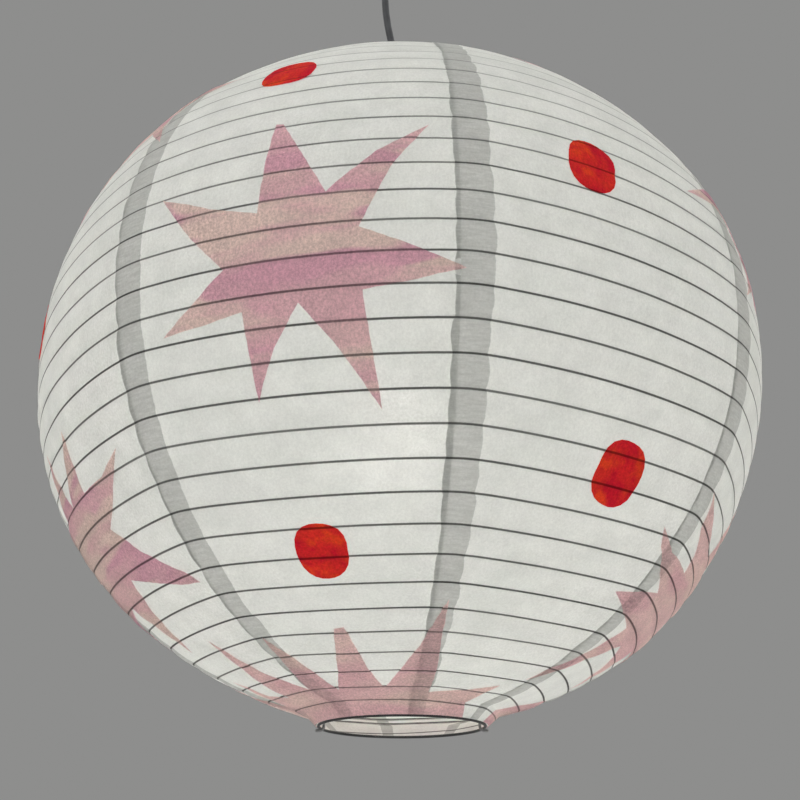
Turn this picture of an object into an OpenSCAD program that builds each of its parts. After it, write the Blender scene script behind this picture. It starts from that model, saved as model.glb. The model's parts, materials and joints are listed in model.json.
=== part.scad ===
// Round paper pendant lantern: eight paper gores on one helical rib wire, held open by a
// wire expander that hangs from a lampholder, on a flex from a ceiling rose.
// The origin is on the ceiling, on the axis, and +Z is up.

/* [Lantern] */
// Radius of the shade at its widest, over the paper
shade_r = 225; // [200:1:235]
// Drop from the ceiling to the middle of the shade
drop = 460; // [460:1:600]
// Number of paper gores
gores = 8; // [8:1:8]
// Azimuth of the first seam, counted from the front towards +X
seam_az = 8.5; // [0:0.5:45]
// Squatness: how much shorter the pole radius is than the widest one, as a share
squat = 0.085; // [0.06:0.001:0.1]
// Thickness of the paper
paper_t = 0.3; // [0.3:0.05:0.4]
// Widest overlap of two gores, at the middle of a seam
overlap_mid = 18; // [14:1:20]
// Overlap of two gores at the rings
overlap_end = 10; // [8:1:12]

/* [Wires] */
// Radius of the end rings, to the middle of the wire
ring_r = 47; // [47:0.5:50]
// Height of the end rings above and below the middle of the shade
ring_z = 206.5; // [206:0.5:208]
// Radius of the ring and expander wire
wire_r = 0.8; // [0.7:0.1:1.3]
// Radius of the rib wire
rib_r = 0.5; // [0.4:0.1:0.6]
// Turns of the rib wire between the rings
rib_turns = 37; // [30:1:37]

/* [Lampholder and bulb] */
// Height of the expander's hub above the middle of the shade
hub_z = 35; // [20:1:50]
// Outer radius of the lampholder's threaded sleeve
sleeve_r = 19.5; // [19:0.1:20]
// Radius of the bulb's glass
bulb_r = 30; // [25:1:32]
// Radius of the bulb's screw cap
screw_r = 13.1; // [13:0.1:13.2]

/* [Flex and rose] */
// Radius of the flex
flex_r = 2.7; // [2.5:0.1:2.8]
// Radius of the rose's cover at the ceiling
rose_r = 41; // [40:0.5:45]
// Distance between the rose's two fixing holes
fixing_gap = 51; // [50:0.5:52]
// Radius of the fixing holes
fixing_r = 2.25; // [2:0.05:2.5]

/* [Hidden] */
$fn = 64;

// ---- the shade's surface, in azimuth and latitude angles about its middle ----
gore_angle = 360 / gores;
fold_mean = 0.25;          // how far the sides between seams flatten, at the equator
fold_slope = -0.43;        // more below the equator, less above it
fold_curve = 0.12;
lat_end = 74;              // latitude of the first and the last rib
function clamp(v, lo, hi) = min(max(v, lo), hi);
function bulge(lat) = 1 - squat * pow(sin(lat), 2);
function fold(lat) =
    clamp(fold_mean + fold_slope * sin(lat) + fold_curve * pow(sin(lat), 2), 0, 1);
function past_seam(az) = (az - seam_az) - gore_angle * floor((az - seam_az) / gore_angle);
function facet(az) = cos(gore_angle / 2) / cos(past_seam(az) - gore_angle / 2);
function radius_at(az, lat) =
    shade_r * bulge(lat) * cos(lat) * (1 - fold(lat) + fold(lat) * facet(az));
function height_at(lat) = shade_r * bulge(lat) * sin(lat);
function polar(r, az, z) = [r * sin(az), -r * cos(az), z];
// A point of the surface, moved outwards by off
function on_shade(az, lat, off) =
    polar(radius_at(az, lat) + off * cos(lat), az, height_at(lat) + off * sin(lat));

// ---- solids from a grid of points ----
// Faces of the closed solid between two layers of rows x cols points
function slab_faces(rows, cols) = let (n = rows * cols) concat(
    [for (i = [0:rows - 2], j = [0:cols - 2]) let (a = i * cols + j)
        each [[a, a + cols, a + 1], [a + 1, a + cols, a + cols + 1],
              [n + a, n + a + 1, n + a + cols], [n + a + 1, n + a + cols + 1, n + a + cols]]],
    [for (j = [0:cols - 2]) let (a = j, b = (rows - 1) * cols + j)
        each [[a, a + 1, n + a], [a + 1, n + a + 1, n + a],
              [b, n + b, b + 1], [b + 1, n + b, n + b + 1]]],
    [for (i = [0:rows - 2]) let (a = i * cols, b = i * cols + cols - 1)
        each [[a, n + a, a + cols], [a + cols, n + a, n + a + cols],
              [b, b + cols, n + b], [b + cols, n + b + cols, n + b]]]);
function unit(v) = v / norm(v);
// Rings of a tube along points, and the faces that join them
function tube_points(path, r, sides, phase = 0) = let (n = len(path))
    [for (i = [0:n - 1])
        let (along = unit(path[min(i + 1, n - 1)] - path[max(i - 1, 0)]),
             side = unit(cross([0, 1, 0.001], along)), up = cross(along, side))
        each [for (k = [0:sides - 1]) let (a = phase + 360 * k / sides)
            path[i] + r * (cos(a) * side + sin(a) * up)]];
function tube_faces(n, sides) = concat(
    [[for (k = [0:sides - 1]) k]],
    [for (i = [0:n - 2], k = [0:sides - 1])
        let (a = i * sides + k, b = i * sides + (k + 1) % sides)
        each [[a, a + sides, b], [b, a + sides, b + sides]]],
    [[for (k = [sides - 1:-1:0]) (n - 1) * sides + k]]);

// ---- gores ----
seam_lift = 0.7;           // the upper layer of a seam lies this far out
seam_ramp = 3;             // degrees over which it comes back down beside the seam
gore_rows = 28;
neck_gap = 0.4;            // between a gore's rim and the ring's wire
rim_r = ring_r + wire_r + neck_gap + paper_t;
function overlap(lat) = overlap_end + (overlap_mid - overlap_end) * pow(cos(lat), 2);
function half_overlap(lat) = overlap(lat) / 2 / (shade_r * cos(lat)) * 180 / PI;
// The columns across a gore at one latitude: [azimuth past its first seam, lift]
function gore_columns(lat) = let (w = half_overlap(lat), a = w + seam_ramp, b = gore_angle - w)
    [[-w, seam_lift], [0, seam_lift], [w, seam_lift], [a, 0],
     [a + (b - a) / 4, 0], [a + (b - a) / 2, 0], [a + (b - a) * 3 / 4, 0],
     [b, 0], [gore_angle, 0], [gore_angle + w, 0]];
function gore_row(first, lat, off) =
    [for (c = gore_columns(lat)) on_shade(first + c[0], lat, off + c[1])];
function rim_row(first, side, off) =
    [for (c = gore_columns(side * lat_end))
        polar(rim_r + off + c[1], first + c[0], side * (ring_z + wire_r / 2))];
function gore_layer(first, off) = concat(
    rim_row(first, -1, off),
    [for (i = [0:gore_rows]) each gore_row(first, lat_end * (2 * i / gore_rows - 1), off)],
    rim_row(first, 1, off));
module gore(k) {
    first = seam_az + gore_angle * (k - 1);
    color("whitesmoke") translate([0, 0, -drop])
        polyhedron(concat(gore_layer(first, 0), gore_layer(first, -paper_t)),
                   slab_faces(gore_rows + 3, len(gore_columns(0))));
}

// ---- the rib: one wire, a helix from ring to ring ----
rib_steps = 24;            // points in a turn
rib_sides = 4;
rib_inset = paper_t + 0.9 + rib_r;
rib_spread = [1.11, -0.234, 0.124];   // the turns stand wider apart below than above
function rib_lat(n) = let (x = n / rib_turns)
    lat_end * (2 * x * (rib_spread[0] + rib_spread[1] * x + rib_spread[2] * x * x) - 1);
module rib_spiral() {
    path = [for (i = [0:rib_turns * rib_steps]) let (n = i / rib_steps)
        on_shade(-360 * n, rib_lat(n), -rib_inset)];
    color("dimgray") translate([0, 0, -drop])
        polyhedron(tube_points(path, rib_r, rib_sides), tube_faces(len(path), rib_sides));
}

// ---- decorations: tissue cut-outs, as [azimuth, latitude] outlines ----
cut_off = 1.9;             // their inner face lies this far outside the paper
cut_t = 0.25;
dot_parts = 4;             // each sector of a round cut-out is divided this often
skin_lat = 7.5;            // degrees between two rows of a cut-out's skin
strip_parts = 4;           // each row of the collar is divided this often
strip_step = 7;            // degrees, at most, between two rows of the collar
skin_az = gore_angle / 6;  // and between two columns, which keep to the seams' ridges
stars = [
    // seven-pointed, front
    [[-16, 12], [-9, 0], [3, 9.5], [-5, -5], [7.5, -10], [-4.5, -13], [-2.5, -26], [-12.5, -13],
     [-19, -24], [-20, -13.5], [-31, -14.5], [-22, -8], [-31.5, 4], [-17.5, -1.5]],
    // lower left
    [[-61, -18], [-61, -27], [-45, -25], [-58, -33], [-53, -38], [-41, -45], [-64, -40],
     [-71, -54], [-75.5, -43], [-90, -50], [-80, -37], [-96, -34], [-77, -27], [-73, -17],
     [-69, -27]],
    // lower right
    [[46.5, -46], [60.5, -43.5], [48, -35.5], [66.5, -38.5], [55.5, -28.5], [78, -33],
     [84, -22], [86, -34], [106, -32], [92, -43], [108, -52], [88, -50], [90, -62],
     [73.5, -52], [48, -65], [62.5, -50]],
    // upper left
    [[-27, 31], [-40, 28], [-36, 17], [-48, 24], [-70, 12], [-60, 27], [-84, 28], [-64, 35],
     [-74, 50], [-54, 41], [-38, 52], [-43, 37]],
    // upper right
    [[43.5, 11.5], [51, 16.5], [63, 19], [60, 33], [71, 22], [86, 34], [81, 18], [100, 12],
     [82, 8], [84, -8], [73, 3], [63, 4.5], [55, 0], [59, 8], [62, 12]],
    // high at the back on the right
    [[21, 38.5], [38, 46], [24, 62], [48, 58], [70, 68], [64, 54], [94, 48], [66, 45],
     [76, 30], [58, 41], [50, 31], [44, 41]],
    // back
    [[166, 14], [172, 2], [186, 10], [177, -4], [190, -12], [176, -12], [172, -26], [166, -13],
     [150, -20], [158, -7], [146, 4], [161, 1]],
];
// The collar round the lower opening: its outer outline as [azimuth, latitude]
collar = [[44, -73.5], [41, -67.5], [29, -70], [12, -71], [9.5, -51], [-1, -65], [-7.5, -69.5],
          [-13, -58.5], [-16.5, -55], [-22, -65], [-28, -70], [-31, -64], [-36, -56],
          [-40.5, -69], [-49, -64], [-57, -53.5], [-61, -64], [-62, -69.5], [-74, -63],
          [-79, -71], [-89, -60], [-101, -71.5], [-114, -59], [-126, -72], [-139, -61],
          [-151, -71], [-164, -58], [-177, -72], [-190, -62], [-203, -71], [-216, -59],
          [-228, -72], [-241, -63], [-254, -71.5], [-267, -66], [-281, -71], [-292, -73.5]];
collar_lat = -74;
// Round cut-outs: [azimuth, latitude, half width, half height, lean], all in degrees
dots = [[-17, 25.5, 3.8, 3.6, 0], [24.8, 7.5, 3.5, 4.1, -8], [33.8, -30.5, 3.7, 4.2, -10],
        [-14, -43, 3.4, 3.9, 0], [-67, -0.5, 3.6, 4, 0], [124, 18, 3.8, 3.8, 0],
        [-150, 6, 3.6, 4.2, -10]];
function mean(points) =
    [for (axis = [0, 1]) [for (p = points) 1] * [for (p = points) p[axis]] / len(points)];
// A fan round a middle point: each row is one ray's points from the middle to the outline
function fan_rows(outline, parts) = let (middle = mean(outline), n = len(outline))
    [for (i = [0:n - 1], part = [0:1]) let (edge = (outline[i] + outline[(i + part) % n]) / 2)
        [for (j = [1:parts]) middle + (edge - middle) * j / parts]];
function cut_points(rows, off) =
    [for (row = rows) each [for (p = row) on_shade(p[0], p[1], off)]];
// The closed solid of a fan: a middle point and rays, in two layers
module fan(outline, off, t, parts) {
    rows = fan_rows(outline, parts);
    middle = mean(outline);
    n = len(rows);
    m = parts;
    one = n * m + 1;
    points = concat(
        cut_points(rows, off + t), [on_shade(middle[0], middle[1], off + t)],
        cut_points(rows, off), [on_shade(middle[0], middle[1], off)]);
    faces = concat(
        [for (i = [0:n - 1]) let (a = i * m, b = (i + 1) % n * m)
            each [[one - 1, a, b], [2 * one - 1, one + b, one + a]]],
        [for (i = [0:n - 1], j = [0:1:m - 2]) let (a = i * m + j, b = (i + 1) % n * m + j)
            each [[a, a + 1, b], [b, a + 1, b + 1],
                  [one + a, one + b, one + a + 1], [one + b, one + b + 1, one + a + 1]]],
        [for (i = [0:n - 1]) let (a = i * m + m - 1, b = (i + 1) % n * m + m - 1)
            each [[a, one + a, b], [b, one + a, one + b]]]);
    translate([0, 0, -drop]) polyhedron(points, faces);
}
// The outline's points, with more between them: on the seams and along wide or high steps
function between(p, q) = let (
    seams = [for (k = [floor((p[0] - seam_az) / gore_angle):-1:ceil((q[0] - seam_az) / gore_angle)])
        seam_az + gore_angle * k],
    ends = concat([p[0]], [for (a = seams) if (a < p[0] && a > q[0]) a], [q[0]]))
    [for (i = [0:len(ends) - 2]) let (
        wide = ends[i] - ends[i + 1],
        high = abs(q[1] - p[1]) * wide / (p[0] - q[0]),
        n = ceil(max(wide, high) / strip_step))
        each [for (j = [0:n - 1]) let (a = ends[i] + (ends[i + 1] - ends[i]) * j / n)
            p + (q - p) * (p[0] - a) / (p[0] - q[0])]];
function dense(outline) = let (last = len(outline) - 1)
    concat([for (i = [0:last - 1]) each between(outline[i], outline[i + 1])], [outline[last]]);
// A strip from near the lower opening's edge to the collar's outline
module strip(outline) {
    rows = [for (p = dense(outline)) let (inner = [p[0], collar_lat])
        [for (j = [0:strip_parts]) inner + (p - inner) * j / strip_parts]];
    translate([0, 0, -drop])
        polyhedron(concat(cut_points(rows, cut_off + cut_t), cut_points(rows, cut_off)),
                   slab_faces(len(rows), strip_parts + 1));
}
// A thin skin over the paper behind an outline, with the gores' own ridges at the seams
function least(lo, from, step) = from + step * floor((lo - from) / step);
module skin(outline) {
    az = [for (p = outline) p[0]];
    lat = [for (p = outline) p[1]];
    a0 = least(min(az), seam_az, skin_az);
    b0 = least(min(lat), 0, skin_lat);
    rows = [for (i = [ceil((max(az) - a0) / skin_az):-1:0])
        [for (j = [0:ceil((max(lat) - b0) / skin_lat)])
            [a0 + i * skin_az, b0 + j * skin_lat]]];
    translate([0, 0, -drop])
        polyhedron(concat(cut_points(rows, cut_off + cut_t), cut_points(rows, cut_off)),
                   slab_faces(len(rows), len(rows[0])));
}
module star(k) color("palevioletred") {
    if (k > len(stars)) strip(collar);
    else intersection() {
        skin(stars[k - 1]);
        fan(stars[k - 1], -25, 50, 1);
    }
}
function oval(d) = [for (a = [0:36:324])
    let (x = d[2] * cos(a), y = d[3] * sin(a), lean = d[4])
    [d[0] + (x * cos(lean) - y * sin(lean)) / cos(d[1]), d[1] + x * sin(lean) + y * cos(lean)]];
module dot(k) color("red") fan(oval(dots[k - 1]), cut_off, cut_t, dot_parts);

// ---- wires ----
module wire_ring(r, z) translate([0, 0, z - drop])
    rotate_extrude() translate([r, 0]) circle(wire_r, $fn = 24);
module wire_up(x, z0, z1) translate([x, 0, z0 - drop]) cylinder(r = wire_r, h = z1 - z0, $fn = 24);
module wire_out(x0, x1, z) translate([x0, 0, z - drop]) rotate([0, 90, 0])
    cylinder(r = wire_r, h = x1 - x0, $fn = 24);
module top_ring() color("dimgray") wire_ring(ring_r, ring_z);
module bottom_ring() color("dimgray") wire_ring(ring_r, -ring_z);

leg_x = ring_r - wire_r * 2 - 1.4;      // the legs stand just inside the rings
bend_r = 2.5;
jaw_z = ring_z - wire_r * 2 - 0.1;      // the upper hooks push the top ring up from below
foot_z = -ring_z - wire_r * 2 - 0.5;    // the feet pass under the bottom ring
hub_ring_r = 22;
// A quarter bend that turns a wire at x from upright to outwards, at height z
module wire_bend(x, z, up) translate([x + bend_r, 0, z - up * bend_r - drop])
    rotate([up * 90, 0, 0]) rotate([0, 0, 90]) rotate_extrude(angle = 90)
        translate([bend_r, 0]) circle(wire_r, $fn = 24);
module expander_leg() {
    wire_up(leg_x, foot_z + bend_r, jaw_z - bend_r);
    wire_bend(leg_x, jaw_z, 1);
    wire_bend(leg_x, foot_z, -1);
    wire_out(leg_x + bend_r, ring_r + 0.4, jaw_z);
    wire_out(leg_x + bend_r, ring_r + 1.6, foot_z);
}
module expander_leg_right() color("gray") expander_leg();
module expander_leg_left() color("gray") mirror([1, 0, 0]) expander_leg();
module expander_hub() color("gray") {
    wire_ring(hub_ring_r, hub_z);
    for (side = [0, 180]) rotate([0, 0, side]) wire_out(hub_ring_r + wire_r / 2, leg_x, hub_z);
}

// ---- lampholder, in heights above the hub's plane ----
module at_hub(h) translate([0, 0, hub_z + h - drop]) children();
module tube(r_out, r_in, h) difference() {
    cylinder(r = r_out, h = h);
    translate([0, 0, -1]) cylinder(r = r_in, h = h + 2);
}
wall = 2;
sleeve_bottom = -20;
sleeve_top = 16;
flange_r = 24;
cap_top = 44;
relief_h = 28;
relief_r = 7.5;
relief_tip_r = 4.4;
crown_r = relief_r + 1.5;
flex_clear = 0.35;         // the flex turns and moves in its bores
insert_z = 11;
insert_h = 6;
shell_r = screw_r + 0.35;
shell_h = 24;
module holder_sleeve() color("white") {
    at_hub(sleeve_bottom) tube(sleeve_r, sleeve_r - wall, sleeve_top - sleeve_bottom);
    at_hub(wire_r + 0.3) tube(flange_r, sleeve_r - wall / 2, 3);
}
// The cap's rounded shoulder, from radius r at height 10 to the crown at height top
function cap_arc(r, top) = [for (a = [10:10:90])
    [crown_r + (r - crown_r) * cos(a), 10 + (top - 10) * sin(a)]];
module holder_cap() color("white") at_hub(sleeve_top) rotate_extrude() difference() {
    polygon(concat([[0, 0], [sleeve_r + 1, 0], [sleeve_r + 1, 10]],
        cap_arc(sleeve_r + 1, cap_top - sleeve_top), [[0, cap_top - sleeve_top]]));
    polygon(concat([[0, -1], [sleeve_r + 1 - wall, -1], [sleeve_r + 1 - wall, 10]],
        cap_arc(sleeve_r + 1 - wall, cap_top - sleeve_top - wall),
        [[0, cap_top - sleeve_top - wall]]));
    square([flex_r + flex_clear, 60]);
}
module strain_relief() color("white") at_hub(cap_top) rotate_extrude()
    polygon([[flex_r + flex_clear, 0], [relief_r, 0], [relief_r, 4], [relief_r - 1.5, 5],
             [relief_tip_r, relief_h - 1], [relief_tip_r - 0.6, relief_h],
             [flex_r + flex_clear, relief_h]]);
terminal_x = 8;
module holder_insert() color("ivory") at_hub(insert_z) difference() {
    cylinder(r = sleeve_r - wall - 0.1, h = insert_h);
    for (side = [-1, 1]) translate([side * 5, 0, -1]) cylinder(r = 1.2, h = insert_h + 2);
}
module screw_shell() color("gold") at_hub(insert_z - shell_h)
    tube(shell_r + 0.5, shell_r, shell_h);
module centre_contact() color("gold") at_hub(insert_z - 1.4) cylinder(r = 3, h = 1.4);
terminal_size = [7, 7, 6];
core_bore = 1.3;
module holder_terminals() color("gold") at_hub(insert_z + insert_h)
    for (side = [-1, 1]) translate([side * terminal_x, 0, 0]) difference() {
        translate([-terminal_size[0] / 2, -terminal_size[1] / 2, 0]) cube(terminal_size);
        translate([0, 0, terminal_size[2] / 2]) rotate([0, 90, 0])
            cylinder(r = core_bore, h = terminal_size[0] + 2, center = true);
        translate([0, 0, terminal_size[2] / 2]) rotate([90, 0, 0])
            cylinder(r = core_bore, h = terminal_size[1]);
    }
module holder_terminal_screws() color("silver") at_hub(insert_z + insert_h + 3)
    for (side = [-1, 1]) translate([side * terminal_x, -1.4, 0]) rotate([90, 0, 0])
        slotted_screw(1.25, 2, 2.4, 1.2);
// A screw that points down -Z from its head at the end of its shank
module slotted_screw(shank_r, head_r, shank, head) {
    cylinder(r = shank_r, h = shank);
    translate([0, 0, shank]) difference() {
        cylinder(r = head_r, h = head);
        translate([-head_r - 1, -0.25, head / 2]) cube([2 * head_r + 2, 0.5, head]);
    }
}
core_r = 1.1;
// A core that runs along x into a terminal from the flex's end, in the plane y = 0
module core_bend(x0, x1, h, up) {
    bend = 3;
    translate([x0, 0, up > 0 ? h - 8 : h + bend]) cylinder(r = core_r, h = 8 - bend, $fn = 24);
    translate([x0 + bend, 0, h - up * bend]) rotate([up * 90, 0, 0]) rotate([0, 0, 90])
        rotate_extrude(angle = 90) translate([bend, 0]) circle(core_r, $fn = 24);
    translate([x0 + bend, 0, h]) rotate([0, 90, 0])
        cylinder(r = core_r, h = x1 - x0 - bend, $fn = 24);
}
core_gap = 1.2;            // from the axis to the middle of a core
module holder_cores() color("sienna") at_hub(insert_z + insert_h + 3)
    for (side = [0, 180]) rotate([0, 0, side]) core_bend(core_gap, terminal_x, 0, -1);

module shade_ring() color("white") at_hub(-12) difference() {
    cylinder(r = 26, h = 10.4);
    translate([0, 0, -1]) cylinder(r = sleeve_r + 0.35, h = 13);
    for (a = [0:30:330]) rotate([0, 0, a]) translate([27, 0, -1]) cylinder(r = 2, h = 13, $fn = 24);
}

// ---- bulb, in heights above the hub's plane ----
bulb_tip = 9.3;
glass_z = -65;
glass_t = 0.8;
glass_neck_r = 12.4;
function glass_outline(r, neck) = concat(
    [for (a = [-90:10:40]) [r * cos(a), glass_z + r * sin(a)]],
    [[neck + 5.5, glass_z + 32], [neck + 1.8, glass_z + 40], [neck, glass_z + 48], [neck, 0]]);
module bulb_glass() color("white") at_hub(0) rotate_extrude() difference() {
    polygon(concat(glass_outline(bulb_r, glass_neck_r), [[0, 0]]));
    polygon(concat(glass_outline(bulb_r - glass_t, glass_neck_r - glass_t), [[0, 0]]));
}
module bulb_stem() color("lightgray") at_hub(-44) {
    cylinder(r1 = 3, r2 = 8, h = 42);
    translate([0, 0, -40]) cylinder(r = 0.8, h = 40.5, $fn = 24);
}
module bulb_filaments() color("khaki") at_hub(-82)
    for (a = [45:90:315]) rotate([0, 0, a]) translate([9, 0, 0]) cylinder(r = 1, h = 36, $fn = 24);
module bulb_screw_cap() color("silver") at_hub(-16) difference() {
    cylinder(r = screw_r, h = 20);
    translate([0, 0, -1]) cylinder(r = glass_neck_r + 0.05, h = 20.5);
}
module bulb_insulator() color("black") at_hub(4) cylinder(r1 = 12.5, r2 = 5, h = 4);
module bulb_contact() color("silver") at_hub(8) cylinder(r = 4.5, h = bulb_tip - 8);

// ---- flex: hand-set points of its middle line, heights above the middle of the shade ----
flex_pivot = 37;           // below the ceiling, in the rose's mouth
flex_route = [[0, 64], [0, 78], [0, 92], [0, 107], [0, 124], [0, 142], [0, 160], [0, 178], [0, 196],
    [0, 212], [0, 226], [0, 238], [-0.2, 250], [-1, 260], [-2.6, 270], [-4.8, 282],
    [-7, 294], [-8.8, 304], [-10.4, 314], [-11.8, 326], [-12.6, 338], [-12.8, 350],
    [-12, 362], [-10, 374], [-7.2, 385], [-4.2, 395], [-1.8, 404], [-0.5, 412], [0, 418],
    [0, drop - flex_pivot]];
module flex() color([0.2, 0.2, 0.22]) {
    path = [for (p = flex_route) [p[0], 0, p[1] - drop]];
    polyhedron(tube_points(path, flex_r, 12), tube_faces(len(path), 12));
}

// ---- ceiling rose, heights below the ceiling ----
rose_h = 38;
rim_in_r = 36;
base_t = 3;
tail_top = 16;
post_y = 9;
clamp_z = 22;
rose_terminal_x = 14;
rose_core_z = 8;
module rose_base() color("white") difference() {
    union() {
        translate([0, 0, -base_t]) cylinder(r = rim_in_r, h = base_t);
        translate([0, 0, -12]) tube(rim_in_r, rim_in_r - 2.5, 12 - base_t);
        for (side = [-1, 1]) {
            translate([0, side * post_y, -clamp_z + 3]) cylinder(r = 3, h = clamp_z - 3 - base_t);
            translate([side * rose_terminal_x - 4.5, -3, -5]) cube([9, 6, 5 - base_t]);
        }
    }
    for (side = [-1, 1]) {
        translate([side * fixing_gap / 2, 0, -base_t - 1])
            cylinder(r = fixing_r, h = base_t + 2);
        translate([0, side * post_y, -clamp_z]) cylinder(r = 1.2, h = 14);
    }
    translate([0, 20, -base_t - 1]) cylinder(r = 7, h = base_t + 2);
}
module rose_terminal(side) translate([side * rose_terminal_x, 0, -rose_core_z]) difference() {
    translate([-4, -3, -3]) cube([8, 6, 6]);
    rotate([0, 90, 0]) cylinder(r = core_bore, h = 10, center = true);
    translate([0, 0, -4]) cylinder(r = 1.2, h = 4);
}
module rose_live_terminal() color("gold") rose_terminal(1);
module rose_neutral_terminal() color("gold") rose_terminal(-1);
module rose_terminal_screws() color("silver") for (side = [-1, 1])
    translate([side * rose_terminal_x, 0, -rose_core_z - 1.4]) mirror([0, 0, 1])
        slotted_screw(1.15, 2, 2.4, 1.2);
module cord_clamp() color("white") difference() {
    translate([-4, -post_y - 4, -clamp_z]) cube([8, 2 * post_y + 8, 3]);
    translate([0, 0, -clamp_z - 1]) cylinder(r = flex_r, h = 5);
    for (side = [-1, 1]) translate([0, side * post_y, -clamp_z - 1]) cylinder(r = 1.6, h = 5);
}
module cord_clamp_screws() color("silver") for (side = [-1, 1])
    translate([0, side * post_y, -clamp_z + 10]) mirror([0, 0, 1])
        slotted_screw(1.15, 2.6, 10, 1.6);
module flex_tail() color([0.2, 0.2, 0.22]) translate([0, 0, -flex_pivot + 1])
    cylinder(r = flex_r, h = flex_pivot - 1 - tail_top);
module rose_cores() color("sienna") translate([0, 0, -rose_core_z])
    for (side = [0, 180]) rotate([0, 0, side]) core_bend(core_gap, rose_terminal_x - 1, 0, 1);
mouth_r = 5.5;
boss_r = mouth_r + 4;
cover_in_r = rim_in_r + 0.3;
// The cover's dome, from radius r at depth 12 towards the boss, to the given depth
function dome(r, depth) = [for (a = [15:15:75])
    [boss_r + (r - boss_r) * cos(a), -12 - (depth - 12) * sin(a)]];
module rose_cover() color("white") rotate_extrude() difference() {
    polygon(concat([[0, -0.5], [rose_r, -0.5], [rose_r, -12]], dome(rose_r, rose_h - 2),
        [[boss_r, -rose_h + 2], [mouth_r + 2, -rose_h], [0, -rose_h]]));
    polygon(concat([[0, 0], [cover_in_r, 0], [cover_in_r, -12]], dome(cover_in_r, rose_h - 4),
        [[boss_r, -rose_h + 4], [0, -rose_h + 4]]));
    translate([0, -rose_h - 1]) square([mouth_r, 10]);
}

rose_base();
rose_live_terminal();
rose_neutral_terminal();
rose_terminal_screws();
cord_clamp();
cord_clamp_screws();
flex_tail();
rose_cores();
rose_cover();
flex();
strain_relief();
holder_cap();
holder_sleeve();
holder_insert();
screw_shell();
centre_contact();
holder_terminals();
holder_terminal_screws();
holder_cores();
shade_ring();
expander_hub();
expander_leg_left();
expander_leg_right();
top_ring();
bottom_ring();
rib_spiral();
for (k = [1:8]) gore(k);
for (k = [1:8]) star(k);
for (k = [1:7]) dot(k);
bulb_glass();
bulb_stem();
bulb_filaments();
bulb_screw_cap();
bulb_insulator();
bulb_contact();
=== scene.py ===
"""Round paper pendant lantern: the looks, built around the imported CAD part. Metres, +Z up."""

import json
import math
import random

import bpy
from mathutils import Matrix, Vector, noise
from mathutils.geometry import delaunay_2d_cdt

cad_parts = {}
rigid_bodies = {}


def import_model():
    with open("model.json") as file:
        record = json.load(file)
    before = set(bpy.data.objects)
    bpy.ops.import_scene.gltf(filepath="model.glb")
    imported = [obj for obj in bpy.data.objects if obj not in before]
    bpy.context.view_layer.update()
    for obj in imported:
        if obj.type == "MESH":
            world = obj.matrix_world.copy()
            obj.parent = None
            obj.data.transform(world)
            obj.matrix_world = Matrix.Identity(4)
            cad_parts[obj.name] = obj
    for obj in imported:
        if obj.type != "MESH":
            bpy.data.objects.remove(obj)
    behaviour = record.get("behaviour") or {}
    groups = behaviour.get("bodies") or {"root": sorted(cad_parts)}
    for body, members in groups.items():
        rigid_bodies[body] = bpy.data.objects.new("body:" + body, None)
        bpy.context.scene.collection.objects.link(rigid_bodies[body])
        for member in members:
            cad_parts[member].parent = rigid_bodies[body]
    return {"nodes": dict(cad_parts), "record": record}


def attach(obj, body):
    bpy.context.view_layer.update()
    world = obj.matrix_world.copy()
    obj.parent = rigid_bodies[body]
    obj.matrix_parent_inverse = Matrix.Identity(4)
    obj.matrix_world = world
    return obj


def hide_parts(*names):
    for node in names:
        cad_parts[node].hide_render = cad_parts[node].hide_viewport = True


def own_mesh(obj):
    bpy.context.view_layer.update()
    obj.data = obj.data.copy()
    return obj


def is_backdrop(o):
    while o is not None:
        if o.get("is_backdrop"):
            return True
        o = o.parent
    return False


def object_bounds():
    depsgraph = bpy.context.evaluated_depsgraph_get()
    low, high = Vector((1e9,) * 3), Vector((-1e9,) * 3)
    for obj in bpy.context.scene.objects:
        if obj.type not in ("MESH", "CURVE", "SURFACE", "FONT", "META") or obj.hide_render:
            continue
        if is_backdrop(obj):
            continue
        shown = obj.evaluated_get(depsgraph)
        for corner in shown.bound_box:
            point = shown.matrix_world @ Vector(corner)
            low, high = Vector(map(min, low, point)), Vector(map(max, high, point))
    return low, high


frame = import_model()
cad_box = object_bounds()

MM = 0.001
nodes = frame["nodes"]
scene = bpy.context.scene
scene.view_settings.view_transform = "Standard"


# ---- the shade's surface: azimuth and latitude in degrees, lengths in metres ----
SHADE_R = 225 * MM
MIDDLE_Z = -460 * MM
SEAM_AZ = 8.5
GORES = 8
GORE_ANGLE = 360 / GORES
SQUAT = 0.085
RIDGE = 2.4  # degrees over which the paper rounds off at a seam
FOLD = (0.25, -0.43, 0.12)  # how flat the gores are, by powers of sin(latitude)
LAT_END = 74
RING_R = 47 * MM
RING_Z = 206.5 * MM
WIRE_R = 0.8 * MM
RIM_R = RING_R + WIRE_R + 0.25 * MM
TURNS = 37
RIB_SPREAD = (1.11, -0.234, 0.124)  # the ribs' spacing from the lower to the upper ring
OVERLAP_END = 10 * MM
OVERLAP_MID = 18 * MM
SEAM_LIFT = 0.18 * MM
SEAM_RAMP = 2.0  # degrees over which the upper layer comes down beside a seam


def sin(a):
    return math.sin(math.radians(a))


def cos(a):
    return math.cos(math.radians(a))


def smooth(edge0, edge1, x):
    t = min(max((x - edge0) / (edge1 - edge0), 0), 1)
    return t * t * (3 - 2 * t)


def past_seam(az):
    return (az - SEAM_AZ) % GORE_ANGLE


def bulge(lat):
    return 1 - SQUAT * sin(lat) ** 2


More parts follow.
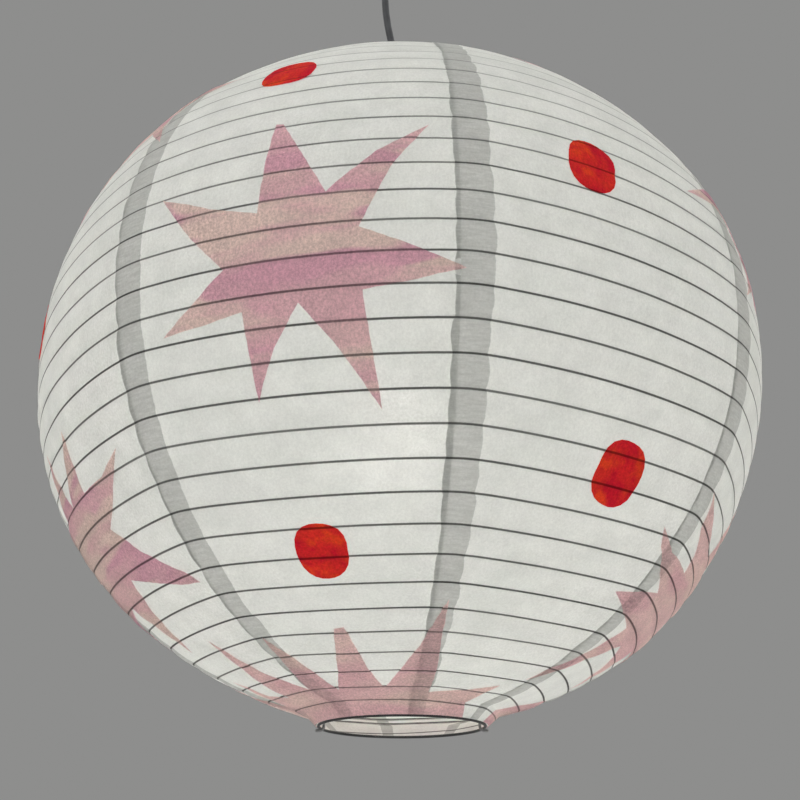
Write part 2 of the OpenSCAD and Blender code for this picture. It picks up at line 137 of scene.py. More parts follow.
def radius_at(az, lat):
    fold = min(max(FOLD[0] + FOLD[1] * sin(lat) + FOLD[2] * sin(lat) ** 2, 0), 1)
    x = past_seam(az)
    from_seam = math.hypot(min(x, GORE_ANGLE - x), RIDGE)
    facet = cos(GORE_ANGLE / 2) / cos(max(GORE_ANGLE / 2 - from_seam, 0))
    return SHADE_R * bulge(lat) * cos(lat) * (1 - fold + fold * facet)


def polar(r, az, z):
    return Vector((r * sin(az), -r * cos(az), z + MIDDLE_Z))


def on_shade(az, lat, off):
    return polar(
        radius_at(az, lat) + off * cos(lat),
        az,
        SHADE_R * bulge(lat) * sin(lat) + off * sin(lat),
    )


def rib_lat(n):
    x = n / TURNS
    a, b, c = RIB_SPREAD
    return LAT_END * (2 * x * (a + b * x + c * x * x) - 1)


def rib_turn(lat):
    """The rib wire's turn count at the azimuth 0 for a latitude: rib_lat's inverse."""
    lo, hi = -2.0, TURNS + 2.0
    for _ in range(30):
        mid = (lo + hi) / 2
        lo, hi = (mid, hi) if rib_lat(mid) < lat else (lo, mid)
    return (lo + hi) / 2


def half_overlap(lat):
    """Half the width of a seam, in metres."""
    return (OVERLAP_END + (OVERLAP_MID - OVERLAP_END) * cos(lat) ** 2) / 2


def as_degrees(width, lat):
    return math.degrees(width / (SHADE_R * cos(lat)))


def puff(az, turn):
    """How far the paper stands out between two turns of the rib wire."""
    phase = turn + az / 360
    strip = math.floor(phase)
    size = 0.45 + 0.3 * noise.noise(Vector((strip * 1.7, az / 40, 3.1)))
    return size * MM * abs(math.sin(math.pi * phase))


def calm_at(turn):
    """0 at the two rings, where the paper is stretched over the wire, and 1 between them."""
    return smooth(0, 1.5, turn) * (1 - smooth(TURNS - 1.5, TURNS, turn))


def crumple(az, lat):
    """Small unevenness of the paper, stronger in the seams."""
    p = on_shade(az, lat, 0) * 1000
    near = abs(past_seam(az + GORE_ANGLE / 2) - GORE_ANGLE / 2)
    glued = 1 - smooth(2, 6, near)
    long_waves = noise.noise(Vector((p.x, p.y, p.z * 1.6)) / 38)
    creases = noise.noise(Vector((az * 0.25, 7.7, p.z / 3.2)))
    return (0.35 * long_waves + 0.12 * glued * creases) * MM


def lift(az, lat):
    """How far the upper layer of a seam lies out, for what is glued over it."""
    w = as_degrees(half_overlap(lat), lat)
    early, late = as_degrees(4 * MM, lat), as_degrees(1.8 * MM, lat)
    x = past_seam(az)
    from_left = smooth(GORE_ANGLE - w - early, GORE_ANGLE - w - late, x)
    return SEAM_LIFT * max(1 - smooth(w, w + SEAM_RAMP, x), from_left)


def rim(az, side, off):
    """The paper's last edge, folded in over a ring."""
    return polar(RIM_R + off, az, side * (RING_Z - 0.3 * MM + 0.3 * off))


# ---- meshes ----
def new_piece(name, verts, faces, attributes=()):
    mesh = bpy.data.meshes.new(name)
    mesh.from_pydata([tuple(v) for v in verts], [], faces)
    for key, values in attributes:
        layer = mesh.attributes.new(key, "FLOAT", "POINT")
        layer.data.foreach_set("value", values)
    mesh.polygons.foreach_set("use_smooth", [True] * len(mesh.polygons))
    mesh.update()
    piece = bpy.data.objects.new(name, mesh)
    scene.collection.objects.link(piece)
    return piece


def grid_faces(rows, cols):
    return [
        (i * cols + j, i * cols + j + 1, (i + 1) * cols + j + 1, (i + 1) * cols + j)
        for i in range(rows - 1)
        for j in range(cols - 1)
    ]


def tube(name, path, radius, sides):
    """A closed tube along a path of points."""
    verts, faces = [], []
    n = len(path)
    for i, p in enumerate(path):
        along = (path[min(i + 1, n - 1)] - path[max(i - 1, 0)]).normalized()
        side = Vector((0, 1, 0.001)).cross(along).normalized()
        up = along.cross(side)
        for k in range(sides):
            a = 360 * k / sides
            verts.append(p + radius * (cos(a) * side + sin(a) * up))
    for i in range(n - 1):
        for k in range(sides):
            a, b = i * sides + k, i * sides + (k + 1) % sides
            faces.append((a, b, b + sides, a + sides))
    faces.append(tuple(reversed(range(sides))))
    faces.append(tuple(range((n - 1) * sides, n * sides)))
    return new_piece(name, verts, faces)


# ---- node trees ----
class Tree:
    """Short ways to add shader nodes to one material."""

    def __init__(self, name):
        self.material = bpy.data.materials.new(name)
        self.material.use_nodes = True
        self.nt = self.material.node_tree
        self.nt.nodes.clear()
        self.out = self.nt.nodes.new("ShaderNodeOutputMaterial")

    def put(self, socket, value):
        if isinstance(value, bpy.types.NodeSocket):
            self.nt.links.new(value, socket)
        elif isinstance(value, tuple) and len(value) == 3 and socket.type == "RGBA":
            socket.default_value = (*value, 1)
        else:
            socket.default_value = value

    def node(self, kind, inputs=(), **settings):
        n = self.nt.nodes.new("ShaderNode" + kind)
        for key, value in settings.items():
            setattr(n, key, value)
        for key, value in dict(inputs).items():
            self.put(n.inputs[key], value)
        return n

    def math(self, operation, a, b=0.0, c=0.0):
        return self.node("Math", {0: a, 1: b, 2: c}, operation=operation).outputs[0]

    def attribute(self, name):
        return self.node("Attribute", attribute_name=name).outputs["Fac"]

    def position(self):
        return self.node("TexCoord").outputs["Object"]

    def stretched(self, scale):
        return self.node("Mapping", {"Vector": self.position(), "Scale": scale}).outputs[0]

    def noise(self, scale, detail=3.0, rough=0.6, vector=None):
        return self.node(
            "TexNoise",
            {
                "Vector": vector or self.position(),
                "Scale": scale,
                "Detail": detail,
                "Roughness": rough,
            },
        ).outputs["Fac"]

    def spread(self, value, from_min, from_max, to_min, to_max):
        return self.node(
            "MapRange",
            {
                "Value": value,
                "From Min": from_min,
                "From Max": from_max,
                "To Min": to_min,
                "To Max": to_max,
            },
            interpolation_type="SMOOTHSTEP",
        ).outputs[0]

    def mix(self, factor, a, b):
        n = self.node("Mix", data_type="RGBA")
        self.put(n.inputs[0], factor)
        self.put(n.inputs[6], a)
        self.put(n.inputs[7], b)
        return n.outputs[2]

    def bump(self, height, distance, strength=1.0):
        return self.node(
            "Bump", {"Height": height, "Distance": distance, "Strength": strength}
        ).outputs[0]

    def principled(self, inputs):
        return self.node("BsdfPrincipled", inputs).outputs[0]

    def shade_mix(self, factor, a, b):
        n = self.node("MixShader")
        self.put(n.inputs[0], factor)
        self.put(n.inputs[1], a)
        self.put(n.inputs[2], b)
        return n.outputs[0]

    def finish(self, shader):
        self.put(self.out.inputs["Surface"], shader)
        return self.material


def painted_rib_and_seam_shade(t):
    """How much painted shade the rib wire and a seam's second layer lay on the paper, from 0 to 1
    each: dark lines and bands for the light they keep from coming through.
    """
    phase = t.attribute("phase")
    near = t.math("PINGPONG", phase, 0.5)
    wobble = t.math("MULTIPLY_ADD", t.noise(900, 1.0), 0.008, -0.004)
    # painted shade: a dark line about a millimetre wide where the rib wire lies behind the paper
    rib = t.spread(t.math("ADD", near, wobble), 0.022, 0.046, 1.0, 0.0)
    height = t.node("SeparateXYZ", {0: t.position()}).outputs["Z"]
    turn = t.math("FLOOR", t.math("ADD", phase, 0.5))
    uneven = t.node("TexWhiteNoise", {"W": turn}, noise_dimensions="1D").outputs["Value"]
    rib = t.math("MULTIPLY", rib, t.math("MULTIPLY_ADD", uneven, 0.22, 0.78))
    # the ribs' painted shade is weaker towards the top of the shade
    rib = t.math("MULTIPLY", rib, t.spread(height, MIDDLE_Z - 30 * MM, -290 * MM, 1.0, 0.5))
    ragged = t.math("MULTIPLY_ADD", t.noise(260, 2.0), 1.2, -0.6)
    # painted shade of a seam's second layer: a darker band with ragged edges
    seam = t.spread(t.math("ADD", t.attribute("seam"), ragged), -0.2, 0.3, 0.0, 1.0)
    return rib, seam


def tissue(name, colours, stretch, edges, rib_painted_shade, seam_painted_shade, speckle, through, pores):
    """Thin paper that light comes through: mottled colours, with painted shade over the ribs and
    seams.
    """
    t = Tree(name)
    rib, seam = painted_rib_and_seam_shade(t)
    threads = t.noise(1.0, 4.0, 0.7, t.stretched((900, 900, 260)))
    drag = t.noise(1.0, 3.0, 0.7, t.stretched((120, 120, 900)))
    grain = t.noise(850, 3.0, 0.8)
    cloud = t.noise(60, 3.0, 0.6)
    patches = t.noise(1.0, 2.5, 0.55, t.stretched(stretch))
    colour = t.mix(t.spread(patches, *edges, 0, 1), colours[0], colours[1])
    second = t.noise(1.0, 2.0, 0.5, t.stretched(tuple(c * 1.7 for c in stretch)))
    colour = t.mix(t.spread(second, 0.42, 0.6, 0, 0.8), colour, colours[2])
    value = t.spread(grain, 0.3, 0.7, 1 - speckle, 1 + speckle)
    value = t.math("MULTIPLY", value, t.spread(threads, 0.3, 0.7, 1 - speckle / 2, 1 + speckle / 2))
    value = t.math("MULTIPLY", value, t.spread(cloud, 0.3, 0.7, 0.96, 1.03))
    streaks = t.spread(drag, 0.3, 0.7, 0.93, 1.06)
    value = t.math("MULTIPLY", value, t.mix(seam, (1.0, 1.0, 1.0), streaks))
    # painted shade: seams darker for the light a second layer holds back, and dark lines where the
    # rib wire blocks it
    value = t.math("MULTIPLY", value, t.math("MULTIPLY_ADD", seam, seam_painted_shade - 1, 1.0))
    value = t.math("MULTIPLY", value, t.math("MULTIPLY_ADD", rib, rib_painted_shade - 1, 1.0))
    colour = t.node("VectorMath", {0: colour, "Scale": value}, operation="SCALE").outputs[0]
    height = t.math("ADD", t.math("MULTIPLY", threads, 0.6), t.math("MULTIPLY", grain, 0.6))
    normal = t.bump(height, 0.1 * MM, 0.35)
    surface = t.principled(
        {
            "Base Color": colour,
            "Roughness": 0.9,
            "Specular IOR Level": 0.2,
            "Normal": normal,
        }
    )
    shine_through = t.node("BsdfTranslucent", {"Color": colour}).outputs[0]
    shader = t.shade_mix(through, surface, shine_through)
    if pores:
        open_share = t.spread(t.noise(700, 2.0, 0.7), 0.42, 0.66, 0.1 * pores, 2.2 * pores)
        open_share = t.math("MULTIPLY", open_share, t.math("SUBTRACT", 1.0, rib))
        blurred = t.node(
            "BsdfRefraction", {"Color": (0.98, 0.97, 0.93), "Roughness": 0.6, "IOR": 1.25}
        ).outputs[0]
        shader = t.shade_mix(open_share, shader, blurred)
    return t.finish(shader)


def solid(name, colour, roughness, metallic=0.0, grain_scale=600.0, grain=0.05, bump=0.02):
    """A hard surface with slight mottling, uneven gloss and fine relief."""
    t = Tree(name)
    fine = t.noise(grain_scale, 3.0, 0.6)
    cloud = t.noise(grain_scale / 12, 2.0, 0.5)
    dark = tuple(c * (1 - grain) for c in colour)
    light = tuple(min(c * (1 + grain), 1) for c in colour)
    inputs = {
        "Base Color": t.mix(t.spread(cloud, 0.35, 0.65, 0, 1), dark, light),
        "Roughness": t.spread(fine, 0.3, 0.7, roughness * 0.85, min(roughness * 1.15, 1)),
        "Metallic": metallic,
        "Normal": t.bump(fine, bump * MM, 0.4),
    }
    return t.finish(t.principled(inputs))


def drawn_wire(name, colour, roughness):
    """Wire with fine scratches along it."""
    t = Tree(name)
    scratch = t.noise(1.0, 4.0, 0.7, t.stretched((3000, 3000, 160)))
    cloud = t.noise(140, 2.0)
    dark = tuple(c * 0.72 for c in colour)
    return t.finish(
        t.principled(
            {
                "Base Color": t.mix(t.spread(cloud, 0.35, 0.7, 0, 1), dark, colour),
                "Metallic": 1.0,
                "Roughness": t.spread(scratch, 0.3, 0.7, roughness * 0.8, roughness * 1.3),
                "Normal": t.bump(scratch, 0.03 * MM, 0.4),
            }
        )
    )


def lamp_glass(name, colour, strength):
    """Opal glass lit from inside, a little darker towards its neck."""
    t = Tree(name)
    height = t.node("SeparateXYZ", {0: t.position()}).outputs["Z"]
    neck = t.spread(height, MIDDLE_Z - 25 * MM, MIDDLE_Z + 30 * MM, 1.0, 0.25)
    cloud = t.spread(t.noise(60, 2.0), 0.3, 0.7, 0.92, 1.0)
    power = t.math("MULTIPLY", t.math("MULTIPLY", neck, cloud), strength)
    return t.finish(
        t.principled(
            {
                "Base Color": (0.9, 0.89, 0.86),
                "Roughness": 0.22,
                "Emission Color": colour,
                "Emission Strength": power,
            }
        )
    )


# The fifth and sixth numbers of each tissue set the painted shade of the ribs and of the seams: how
# dark they are, 1 for none.
PAPER = tissue(
    "paper", [(0.78, 0.795, 0.765), (0.81, 0.82, 0.79), (0.80, 0.81, 0.785)],
    (18, 18, 40), (0.4, 0.6), 0.2, 0.68, 0.05, 0.5, 0.006,
)
PINK = tissue(
    "pink_tissue", [(0.77, 0.44, 0.53), (0.84, 0.65, 0.60), (0.81, 0.53, 0.56)],
    (9, 9, 42), (0.46, 0.54), 0.36, 0.92, 0.14, 0.5, 0.004,
)
PALE_PINK = tissue(
    "pink_tissue_pale", [(0.84, 0.54, 0.57), (0.88, 0.66, 0.62), (0.86, 0.60, 0.60)],
    (9, 9, 42), (0.44, 0.56), 0.36, 0.92, 0.13, 0.5, 0.004,
)
RED = tissue(
    "red_tissue", [(0.72, 0.014, 0.035), (0.88, 0.07, 0.022), (0.78, 0.03, 0.03)],
    (70, 70, 70), (0.4, 0.62), 0.4, 0.8, 0.12, 0.45, 0.0,
)
WHITE_PLASTIC = solid("white_plastic", (0.78, 0.78, 0.75), 0.32, grain_scale=900, grain=0.03)
BRASS = solid("brass", (0.70, 0.52, 0.24), 0.3, 1.0, 500, 0.12)
STEEL = solid("screw_steel", (0.66, 0.67, 0.69), 0.28, 1.0, 700, 0.1)
SHEATH = solid("flex_sheath", (0.045, 0.047, 0.052), 0.48, 0.0, 1200, 0.2, 0.03)
CORE = solid("core_sheath", (0.16, 0.07, 0.035), 0.42, 0.0, 900, 0.15)
CERAMIC = solid("ceramic", (0.78, 0.75, 0.68), 0.55, 0.0, 1500, 0.06, 0.05)
EXPANDER_WIRE = drawn_wire("expander_wire", (0.30, 0.30, 0.30), 0.38)
RING_WIRE = solid("ring_wire", (0.022, 0.022, 0.023), 0.42, 0.0, 1600, 0.3, 0.03)
RIB_WIRE = solid("rib_wire", (0.22, 0.22, 0.21), 0.5, 0.0, 1500, 0.3, 0.02)
OPAL = lamp_glass("opal_glass", (1.0, 0.975, 0.93), 23.5)
CLEAR = solid("clear_glass", (0.8, 0.85, 0.85), 0.12, 0.0, 200, 0.04, 0.01)
FILAMENT = solid("filament", (0.85, 0.62, 0.22), 0.5, 0.0, 1500, 0.1)
CAP_METAL = solid("cap_metal", (0.74, 0.74, 0.74), 0.3, 1.0, 400, 0.1)
BLACK_GLASS = solid("black_glass", (0.012, 0.012, 0.014), 0.15, 0.0, 300, 0.2, 0.01)

SLOT_MATERIALS = {
    "white_plastic": WHITE_PLASTIC, "brass": BRASS, "screw_steel": STEEL,
    "flex_sheath": SHEATH, "core_sheath": CORE, "ceramic": CERAMIC,
    "expander_wire": EXPANDER_WIRE, "ring_wire": RING_WIRE, "rib_wire": RIB_WIRE,
    "paper": PAPER, "pink_tissue": PINK, "red_tissue": RED, "opal_glass": OPAL,
    "clear_glass": CLEAR, "filament": FILAMENT, "cap_metal": CAP_METAL,
    "black_glass": BLACK_GLASS,
}
slot_of = {s["node"]: s["material_slot"] for s in frame["record"]["subparts"]}


def finish_as(piece, slot, material=None):
    piece.data.materials.clear()
    piece.data.materials.append(material or SLOT_MATERIALS[slot])


# ---- camera ----
camera = bpy.data.objects.new("camera", bpy.data.cameras.new("camera"))
scene.collection.objects.link(camera)
camera.data.sensor_width = 36
camera.data.lens = 46.97
camera.location = (0, -0.612, -0.7446)
LOOK_UP, TURN_LEFT = 24.66, 0.10
camera.rotation_euler = (math.radians(90 + LOOK_UP), 0, math.radians(TURN_LEFT))
scene.camera = camera

# ---- the flex: the CAD route, as [x, height above the middle of the shade] in mm ----
FLEX_R = 2.7 * MM
flex_route = [
    (0, 64), (0, 78), (0, 92), (0, 107), (0, 124), (0, 142), (0, 160), (0, 178), (0, 196), (0, 212),
    (0, 226), (0, 238), (-0.2, 250), (-1, 260), (-2.6, 270), (-4.8, 282), (-7, 294),
    (-8.8, 304), (-10.4, 314), (-11.8, 326), (-12.6, 338), (-12.8, 350), (-12, 362),
    (-10, 374), (-7.2, 385), (-4.2, 395), (-1.8, 404), (-0.5, 412), (0, 418), (0, 423),
]
flex_path = [Vector((x * MM, 0, z * MM + MIDDLE_Z)) for x, z in flex_route]
flex = tube("flex_visual", flex_path, FLEX_R, 24)
finish_as(flex, "flex_sheath")
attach(flex, "flex")
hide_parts("flex")

# ---- paper gores ----
PAPER_T = 0.12 * MM
NO_SEAM = -9  # mm inside a seam, well outside any
ROWS = TURNS * 8
TUCK = 2.5 * MM  # how far a gore runs on under its neighbour's free edge
lats = [rib_lat(TURNS * i / ROWS) for i in range(ROWS + 1)]
turns = [TURNS * i / ROWS for i in range(ROWS + 1)]


def ragged(first, phase, lat, which):
    """How far a gore's edge strays: it bulges between the ribs, and drifts from strip to strip."""
    bulges = 0.7 * abs(math.sin(math.pi * phase))
    strip = 1.3 * noise.noise(Vector((first, math.floor(phase) * 0.77, which)))
    drift = 0.9 * noise.noise(Vector((first, lat * 0.3, which + 4)))
    return (bulges - 0.4 + strip + drift) * MM


def gore_columns(lat, turn, first):
    """Columns across a gore: (azimuth past its first seam, lift, mm inside a seam).

    The seam's second layer is not meshed: its darker band is painted shade for the light that
    two layers hold back, painted from the mm inside it, so that its edges stay crisp.
    """
    half = half_overlap(lat)
    w = as_degrees(half, lat)
    phase = turn + first / 360
    free = -w - as_degrees(ragged(first, phase, lat, 0.3), lat)
    hidden_edge = w + as_degrees(ragged(first, phase, lat, 9.3), lat)
    under = GORE_ANGLE - w + as_degrees(TUCK, lat)
    mm = 1000 * SHADE_R * math.radians(1) * cos(lat)
    out = []
    left = [free + (w - free) * i / 6 for i in range(7)]
    for x in left + [w + SEAM_RAMP * i / 3 for i in (1, 2, 3)]:
        inside = min(x - free, hidden_edge - x) * mm
        out.append((x, SEAM_LIFT * (1 - smooth(w, w + SEAM_RAMP, x)), inside))
    a, b = w + SEAM_RAMP, GORE_ANGLE - w
    for i in range(1, 21):
        x = a + (b - a) * i / 20
        out.append((x, 0, NO_SEAM))
    for i in range(1, 3):
        out.append((b + (under - b) * i / 2, 0, NO_SEAM))
    return out


for k in range(GORES):
    first = SEAM_AZ + GORE_ANGLE * k
    verts, phases, seams = [], [], []
    rows = 0
    for side, where in ((-1, 0), (0, None), (1, ROWS)):
        if side:
            cols = gore_columns(lats[where], turns[where], first)
            steps = (1, 2, 3) if side > 0 else (3, 2, 1)
            for step in steps:
                rows += 1
                for x, up, inside in cols:
                    start = on_shade(first + x, lats[where], up)
                    verts.append(start.lerp(rim(first + x, side, up), step / 3))
                    phases.append(turns[where] + (first + x) / 360 + side * step * 0.25)
                    seams.append(inside)
            continue
        for lat, turn in zip(lats, turns):
            rows += 1
            calm = calm_at(turn)
            for x, up, inside in gore_columns(lat, turn, first):
                az = first + x
                off = up + calm * (puff(az, turn) + crumple(az, lat))
                verts.append(on_shade(az, lat, off))
                phases.append(turn + az / 360)
                seams.append(inside)
    cols = len(verts) // rows
    gore = new_piece(
        f"paper_gore_{k + 1}", verts, grid_faces(rows, cols),
        (("phase", phases), ("seam", seams)),
    )
    finish_as(gore, "paper")
    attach(gore, "lantern")
    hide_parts(f"gore_{k + 1}")

# ---- rib wire ----
RIB_R = 0.5 * MM
RIB_GAP = 0.1 * MM
STEPS = 72  # points to a turn
path = []
for i in range(TURNS * STEPS + 1):
    n = i / STEPS
    az = -360 * n
    lat = rib_lat(n)
    path.append(on_shade(az, lat, calm_at(n) * crumple(az, lat) - RIB_R - PAPER_T - RIB_GAP))
rib = tube("rib_wire", path, RIB_R, 6)
finish_as(rib, "rib_wire")
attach(rib, "lantern")
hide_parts("rib_spiral")

# ---- tissue cut-outs: outlines as (azimuth, latitude) ----
STARS = [
    [(-16.2, 12.2), (-15.2, 12), (-9, 0.2), (-3, 5.6), (3.4, 9.6), (-1, 3.6), (-5, -4.8),
     (1.5, -7.5), (7.5, -10.2), (1, -11.6), (-4.6, -12.4), (-4.4, -14), (-2.5, -26),
     (-8, -18.5), (-12.5, -13.2), (-16, -18), (-19, -24), (-19.4, -18.5), (-19.8, -13.4),
     (-24, -14), (-31, -14.6), (-26, -11), (-22, -8), (-26.5, -3), (-31.4, 4), (-24, 0.5),
     (-17.5, -1.5), (-17, 4)],
    [(-61, -17.6), (-60.4, -20.8), (-61, -26.8), (-52.2, -26.8), (-45, -24.8), (-48, -27.2),
     (-51.5, -29.8), (-55, -31.6), (-58.2, -33), (-52.8, -37.8), (-48, -40.6), (-43.5, -43),
     (-40.8, -45.1), (-47, -44.4), (-53.5, -43), (-64.2, -40.2), (-66, -44), (-68.2, -47.8),
     (-71.2, -54.2), (-74, -46.5), (-75.4, -42.8), (-82, -47), (-90, -50), (-80, -37),
     (-96, -34), (-77, -27), (-74, -21), (-73, -17), (-71.5, -22), (-69.2, -26.8), (-64, -21.5)],
    [(46.4, -45.8), (52.2, -45), (60.8, -43.5), (54.2, -41.5), (49.5, -38), (47.7, -35.3),
     (53, -38.2), (60, -38.4), (66.5, -38.5), (65, -36), (58.8, -33.2), (55.6, -28.3),
     (59.5, -30), (65.2, -31.5), (73.2, -33), (77, -33), (79, -27.2), (84, -22), (86, -34),
     (106, -32), (92, -43), (108, -52), (90, -50), (90, -62), (85.2, -56.8), (79.8, -53.5),
     (73.5, -52), (69.8, -53.8), (61.8, -57.5), (55, -61.5), (48, -65), (50.8, -61.3),
     (56, -57), (60.3, -52.8), (62.5, -50), (53.5, -48.8)],
    [(-27, 30.6), (-31.3, 29.4), (-39, 29), (-38.8, 22.8), (-36, 16.8), (-42.8, 23.8),
     (-52, 24), (-70, 12), (-60, 27), (-84, 28), (-64, 35), (-74, 50), (-58, 40), (-50, 49),
     (-48, 36)],
    [(43.6, 11.5), (51, 16.2), (63, 19), (60, 33), (71, 22), (86, 34), (81, 18), (100, 12),
     (82, 8), (84, -8), (73, 3), (63.2, 4.6), (55.2, -0.2), (58.5, 3.7), (57.5, 9.2),
     (60, 12.5), (51.8, 13.2)],
    [(21, 38.5), (38, 46), (24, 62), (48, 58), (70, 68), (64, 54), (94, 48), (66, 45),
     (76, 30), (58, 41), (50, 31), (44, 41)],
    [(166, 14), (172, 2), (186, 10), (177, -4), (190, -12), (176, -12), (172, -26),
     (166, -13), (150, -20), (158, -7), (146, 4), (161, 1)],
]
COLLAR = [
    (41.5, -77.5), (37.8, -73.8), (41.4, -67.3), (29, -69.8), (11.9, -71.2), (11.5, -65.5),
    (9.8, -58.2), (9.5, -50.8), (4.8, -59.3), (-0.5, -65), (-6.5, -69.3), (-8, -69.2),
    (-11.2, -64.5), (-12.8, -58.8), (-14, -55.2), (-16.6, -55.4), (-18.8, -59.8),
    (-22, -64.8), (-28, -70), (-30.5, -64.2), (-33.2, -59.5), (-36, -56), (-37, -62.8),
    (-40.5, -68.8), (-49.2, -64.2), (-53, -60.3), (-57, -53.4), (-59.3, -61.8),
    (-61.8, -65), (-62, -69.5), (-71, -67.5), (-74, -61.8), (-77, -71.2), (-89, -60),
    (-101, -71.5), (-114, -59), (-126, -72), (-139, -61), (-151, -71), (-164, -58),
    (-177, -72), (-190, -62), (-203, -71), (-216, -59), (-228, -72), (-241, -63),
    (-254, -71.5), (-267, -66), (-281, -71), (-291, -75.7), (-294, -77.5),
]
COLLAR_LAT = -77.5
DOTS = [  # azimuth, latitude, half width, half height, lean
    (-17, 25.5, 3.8, 3.6, 0), (24.8, 7.5, 3.5, 4.1, -8), (33.8, -30.5, 3.7, 4.2, -10),
    (-14, -43, 3.4, 3.9, 0), (-70.5, 1.5, 3.6, 4, 0), (124, 18, 3.8, 3.8, 0),
    (-150, 6, 3.6, 4.2, -10),
]
CUT_OFF = 0.45 * MM
GRID = 1.0  # degrees between the points inside a cut-out
EDGE_STEP = 0.8  # and along its edge
EDGE_STRAY = 0.05
GRID_STRAY = 0.2


def surface_point(az, lat, off):
    """A point of the paper with its puffs; below the last rib it runs on to the ring."""
    if abs(lat) <= LAT_END:
        turn = rib_turn(lat)
        out = lift(az, lat) + calm_at(turn) * (puff(az, turn) + crumple(az, lat)) + off
        return on_shade(az, lat, out), turn + az / 360
    side = 1 if lat > 0 else -1
    share = min((abs(lat) - LAT_END) / (abs(COLLAR_LAT) - LAT_END), 1)
    up = lift(az, side * LAT_END)
    start = on_shade(az, side * LAT_END, up + off)
    turn = 0 if side < 0 else TURNS
    return start.lerp(rim(az, side, up + off), share), turn + az / 360 + side * share * 0.75


def seam_depth(az, lat):
    """How far inside a seam a point lies, in mm; negative outside."""
    lat = max(min(lat, LAT_END), -LAT_END)
    x = past_seam(az)
    x = min(x, GORE_ANGLE - x)
    mm = 1000 * SHADE_R * math.radians(1) * cos(lat)
    return 1000 * half_overlap(lat) - x * mm


def cut_out(name, outline, middle_lat, rng):
    """A mesh over the paper inside a closed outline of (azimuth, latitude) points."""
    squeeze = cos(middle_lat)
    flat = [Vector((a * squeeze, b)) for a, b in outline]
    edge = []
    for p, q in zip(flat, flat[1:] + flat[:1]):
        n = max(1, round((q - p).length / EDGE_STEP))
        across = Vector((-(q - p).y, (q - p).x)).normalized()
        for i in range(n):
            stray = rng.uniform(-EDGE_STRAY, EDGE_STRAY) if i else 0
            edge.append(p.lerp(q, i / n) + across * stray)
    lo = [min(p[i] for p in flat) for i in (0, 1)]
    hi = [max(p[i] for p in flat) for i in (0, 1)]
    grid = []
    y = lo[1] + GRID / 2
    while y < hi[1]:
        x = lo[0] + GRID / 2
        while x < hi[0]:
            stray_x = rng.uniform(-GRID_STRAY, GRID_STRAY)
            stray_y = rng.uniform(-GRID_STRAY, GRID_STRAY)
            grid.append(Vector((x + stray_x, y + stray_y)))
            x += GRID
        y += GRID
    near = [g for g in grid if min((g - e).length_squared for e in edge) > (0.35 * GRID) ** 2]
    points, _, faces, _, _, _ = delaunay_2d_cdt(
        edge + near, [], [list(range(len(edge)))], 1, 1e-6
    )
    verts, phases, seams = [], [], []
    for p in points:
        az, lat = p.x / squeeze, p.y
        place, phase = surface_point(az, lat, CUT_OFF)
        verts.append(place)
        phases.append(phase)
        seams.append(seam_depth(az, lat))
    used = sorted({i for f in faces for i in f})
    new = {old: i for i, old in enumerate(used)}
    faces = [[new[i] for i in f] for f in faces]
    piece = new_piece(
        name, [verts[i] for i in used], faces,
        (("phase", [phases[i] for i in used]), ("seam", [seams[i] for i in used])),
    )
    a, b, c = (piece.data.vertices[i].co for i in piece.data.polygons[0].vertices[:3])
    outward = (a - Vector((0, 0, MIDDLE_Z))).dot((b - a).cross(c - a))
    if outward < 0:
        piece.data.flip_normals()
    return piece


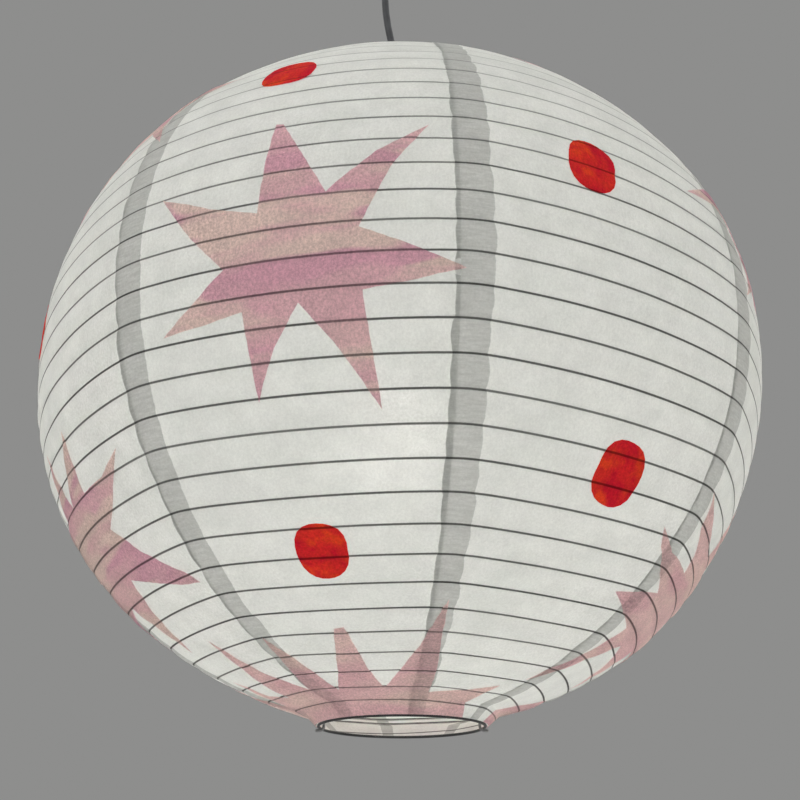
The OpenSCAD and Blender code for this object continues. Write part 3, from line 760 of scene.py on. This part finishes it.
SQUARE = 2.6  # the dots' outlines lie between a circle, 2, and a square
rng = random.Random(7)
for k, outline in enumerate(STARS, 1):
    middle = sum(p[1] for p in outline) / len(outline)
    piece = cut_out(f"pink_star_{k}", outline, middle, rng)
    finish_as(piece, "pink_tissue", PALE_PINK if k in (3, 6) else PINK)
    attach(piece, "lantern")
    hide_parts(f"star_{k}")
collar_inner_edge = [(a, COLLAR_LAT) for a in range(-292, 42, 3)]
piece = cut_out("pink_collar", COLLAR + collar_inner_edge, -66, rng)
finish_as(piece, "pink_tissue", PALE_PINK)
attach(piece, "lantern")
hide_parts("star_8")
for k, (az, lat, wide, high, lean) in enumerate(DOTS, 1):
    outline = []
    for a in range(0, 360, 15):
        size = 1 + 0.05 * noise.noise(Vector((k * 3.3, a / 40, 0)))
        square = (abs(cos(a)) ** SQUARE + abs(sin(a)) ** SQUARE) ** (-1 / SQUARE)
        x, y = wide * cos(a) * size * square, high * sin(a) * size * square
        outline.append(
            (az + (x * cos(lean) - y * sin(lean)) / cos(lat), lat + x * sin(lean) + y * cos(lean))
        )
    piece = cut_out(f"red_dot_{k}", outline, lat, rng)
    finish_as(piece, "red_tissue")
    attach(piece, "lantern")
    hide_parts(f"dot_{k}")

# ---- the paper, rib and tissue pieces get meshes of their own ----
for piece in list(scene.objects):
    if piece.name.startswith(("paper_gore", "pink_", "red_dot", "rib_wire")):
        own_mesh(piece)

# ---- the CAD nodes that stay get their finishes ----
for name, node in nodes.items():
    if not node.hide_render:
        node.data.materials.clear()
        node.data.materials.append(SLOT_MATERIALS[slot_of[name]])

# ---- stage: pale floor, even pale surroundings, soft lights ----
FLOOR_Z, FLOOR_HALF = -1.6, 9.0
floor_mesh = bpy.data.meshes.new("floor")
floor_mesh.from_pydata(
    [(x * FLOOR_HALF, y * FLOOR_HALF, FLOOR_Z) for x, y in ((-1, -1), (1, -1), (1, 1), (-1, 1))],
    [], [(0, 1, 2, 3)],
)
floor = bpy.data.objects.new("floor", floor_mesh)
scene.collection.objects.link(floor)
floor_mesh.materials.append(solid("floor_paint", (0.83, 0.83, 0.82), 0.8, 0.0, 30, 0.02))
floor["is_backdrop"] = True

world = bpy.data.worlds.new("world")
scene.world = world
world.use_nodes = True
background = world.node_tree.nodes["Background"]
background.inputs["Color"].default_value = (0.27, 0.27, 0.266, 1)
background.inputs["Strength"].default_value = 1.0


def area_light(name, place, size, power, target=(0, 0, MIDDLE_Z)):
    light = bpy.data.lights.new(name, "AREA")
    light.shape = "SQUARE"
    light.size = size
    light.energy = power
    lamp = bpy.data.objects.new(name, light)
    lamp.location = place
    lamp.rotation_euler = (Vector(target) - Vector(place)).to_track_quat("-Z", "Y").to_euler()
    scene.collection.objects.link(lamp)


area_light("key", (-1.6, -2.2, 0.4), 2.0, 19)
area_light("fill", (2.0, -1.8, -1.0), 2.4, 13)
area_light("back", (0.4, 2.4, 0.2), 2.2, 11)
area_light("floor_wash", (0.0, 0.0, 1.6), 4.0, 44, (0, 0, FLOOR_Z))

size = {"cad": [list(v) for v in cad_box], "visual": [list(v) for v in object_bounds()]}
